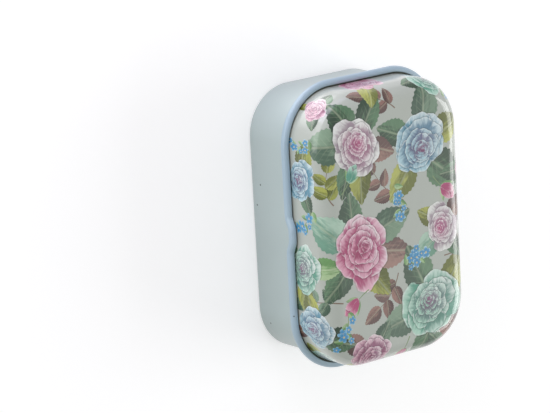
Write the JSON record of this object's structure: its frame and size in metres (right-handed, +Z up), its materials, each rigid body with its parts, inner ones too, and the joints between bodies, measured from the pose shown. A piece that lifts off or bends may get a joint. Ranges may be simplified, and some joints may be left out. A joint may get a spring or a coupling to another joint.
{
  "type": "hinged sewing tin",
  "caption": "Small rectangular tinplate box with round corners, a curled rim and a deep hinged lid with a beaded edge and a thumb notch.",
  "frame": {"origin": "on the surface the tin stands on, under the middle of its outline", "axes": "+X along the long side, -Y towards the front with the thumb notch, +Z up through the lid"},
  "size_m": [0.1058, 0.0724, 0.0425],
  "materials": {
    "base_enamel": "satin pale sage enamel on tinplate, slate blue lacquer inside",
    "lid_print": "glossy floral print on tinplate, light blue lacquer inside and on the bead"
  },
  "bodies": {
    "base_body": {"base": "base_enamel"},
    "lid_body": {"lid": "lid_print"}
  },
  "joints": [
    {"name": "lid_hinge", "type": "hinge", "parent": "base_body", "child": "lid_body", "pos_m": [0, 0.03466, 0.025], "axis": [-1, 0, 0], "range_deg": [0, 105]}
  ]
}
